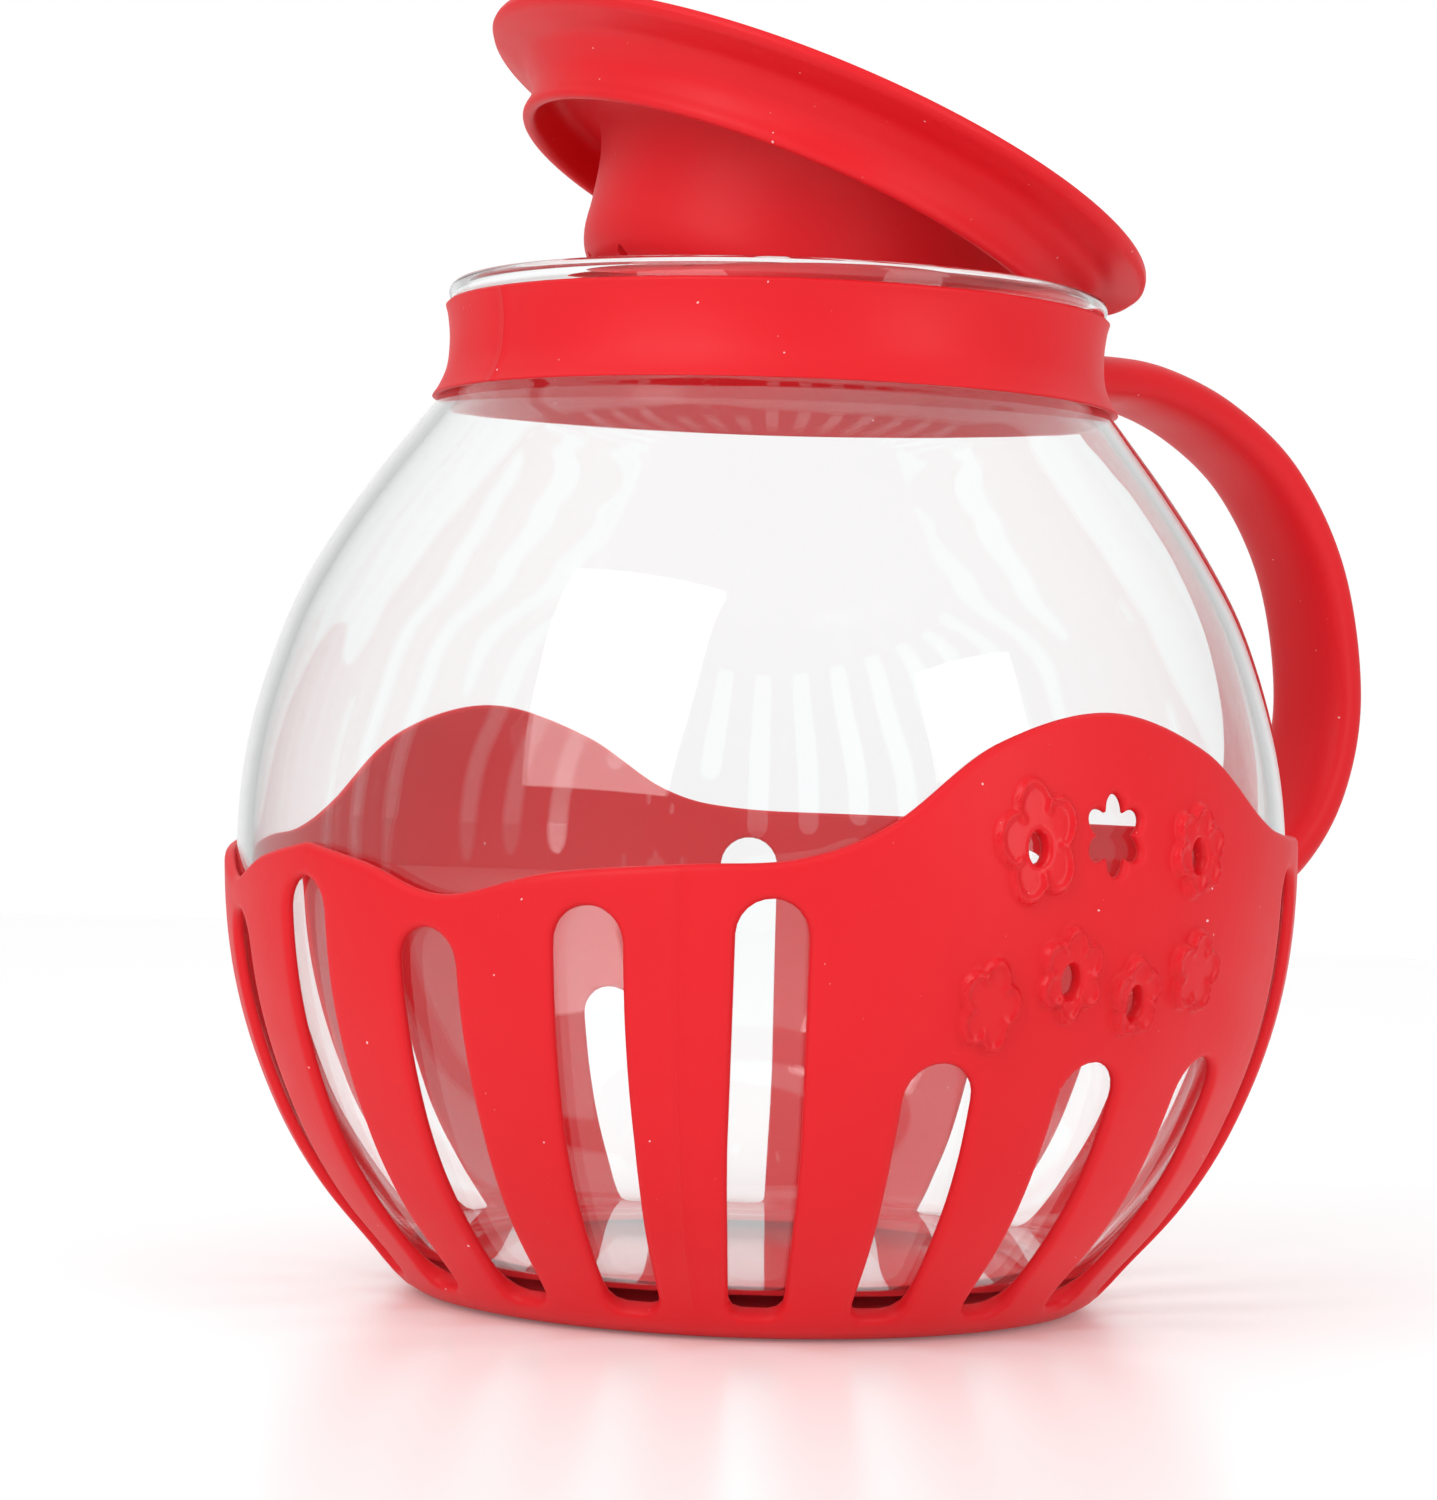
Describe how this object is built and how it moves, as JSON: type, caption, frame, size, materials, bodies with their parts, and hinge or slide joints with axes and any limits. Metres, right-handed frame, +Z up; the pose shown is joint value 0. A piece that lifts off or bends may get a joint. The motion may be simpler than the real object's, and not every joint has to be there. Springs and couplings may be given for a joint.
{
  "type": "popcorn maker",
  "caption": "Round glass popcorn bowl in a slotted red silicone sleeve with a neck collar, a strap handle and a loose lid with a central cup, tipped open.",
  "frame": {"origin": "centre of the sleeve's flat underside, where the popcorn maker stands", "axes": "+Z up along the bowl's axis, -Y towards the decorated face, +X towards the handle"},
  "size_m": [0.2468, 0.1976, 0.235],
  "materials": {
    "clear_glass": "clear polished borosilicate-style glass",
    "sleeve_silicone": "red silicone, satin matte",
    "collar_silicone": "red silicone, satin matte",
    "handle_silicone": "red silicone, satin matte",
    "lid_silicone": "red silicone, satin matte"
  },
  "bodies": {
    "bowl": {"glass_bowl": "clear_glass", "sleeve": "sleeve_silicone", "neck_collar": "collar_silicone", "handle": "handle_silicone"},
    "lid": {"lid": "lid_silicone"}
  },
  "joints": [
    {"name": "lid_tilt", "type": "hinge", "parent": "bowl", "child": "lid", "pos_m": [0.05654, -0.01947, 0.182], "axis": [0.3256, 0.9455, 0], "range_deg": [-21.5, 36]}
  ]
}
